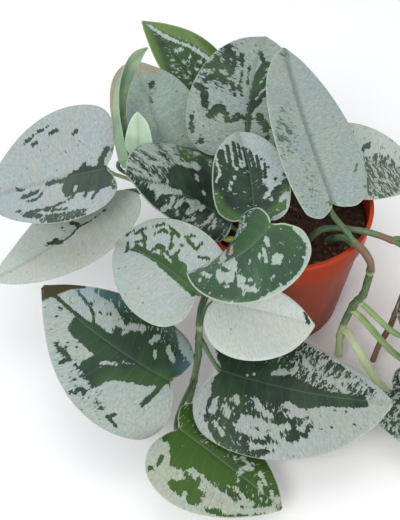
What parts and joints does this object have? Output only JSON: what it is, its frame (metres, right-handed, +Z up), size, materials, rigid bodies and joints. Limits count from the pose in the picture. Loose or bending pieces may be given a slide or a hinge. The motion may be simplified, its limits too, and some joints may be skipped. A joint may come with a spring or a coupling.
{
  "type": "satin pothos in a nursery pot",
  "caption": "Satin pothos house plant: heart-shaped, silver-splashed green leaves on trailing stems, growing from dark soil in a round terracotta-coloured plastic pot.",
  "frame": {"origin": "middle of the pot's underside, on the surface that it stands on", "axes": "+Z up, -Y towards the side where the front stem trails over the lip, +X to the right seen from that side"},
  "size_m": [0.372, 0.3334, 0.1738],
  "materials": {
    "pot": "terracotta-coloured moulded plastic, soft sheen",
    "soil": "dark moist peat compost, rough",
    "vine": "green stem skin turning brown, satin",
    "stalk": "pale green leaf stalk, satin",
    "leaf_silver": "silver-green leaf, velvety satin",
    "leaf_mottled": "dark green leaf with silver splashes, satin",
    "leaf_young": "pale green young leaf, soft satin",
    "shoot": "yellow-green shoot tip, satin"
  },
  "bodies": {
    "root": {"leaf_back_left": "leaf_silver", "leaf_back_rolled": "leaf_mottled", "leaf_bottom": "leaf_mottled", "leaf_centre_left": "leaf_mottled", "leaf_centre_small": "leaf_mottled", "leaf_far_right": "leaf_mottled", "leaf_front_left": "leaf_mottled", "leaf_front_silver": "leaf_silver", "leaf_glossy_heart": "leaf_mottled", "leaf_left_lower": "leaf_silver", "leaf_left_upper": "leaf_silver", "leaf_low_left": "leaf_mottled", "leaf_low_right": "leaf_mottled", "leaf_rear_left": "leaf_silver", "leaf_rear_right": "leaf_silver", "leaf_right_low": "leaf_mottled", "leaf_right_middle": "leaf_mottled", "leaf_right_outer": "leaf_mottled", "leaf_right_silver": "leaf_silver", "leaf_right_upper": "leaf_mottled", "leaf_top_mottled": "leaf_mottled", "leaf_young_pale": "leaf_young", "leaf_young_rolled": "leaf_young", "pot": "pot", "shoot_tip": "shoot", "soil": "soil", "stalk_back_left": "stalk", "stalk_back_rolled": "stalk", "stalk_bottom": "stalk", "stalk_centre_left": "stalk", "stalk_centre_small": "stalk", "stalk_far_right": "stalk", "stalk_front_left": "stalk", "stalk_front_silver": "stalk", "stalk_glossy_heart": "stalk", "stalk_left_lower": "stalk", "stalk_left_upper": "stalk", "stalk_low_left": "stalk", "stalk_low_right": "stalk", "stalk_rear_left": "stalk", "stalk_rear_right": "stalk", "stalk_right_low": "stalk", "stalk_right_middle": "stalk", "stalk_right_outer": "stalk", "stalk_right_silver": "stalk", "stalk_right_upper": "stalk", "stalk_top_mottled": "stalk", "stalk_young_pale": "stalk", "stalk_young_rolled": "stalk", "vine_back": "vine", "vine_centre": "vine", "vine_far_right": "vine", "vine_front": "vine", "vine_left": "vine", "vine_rear": "vine", "vine_right": "vine", "vine_right_upper": "vine"}
  },
  "joints": []
}
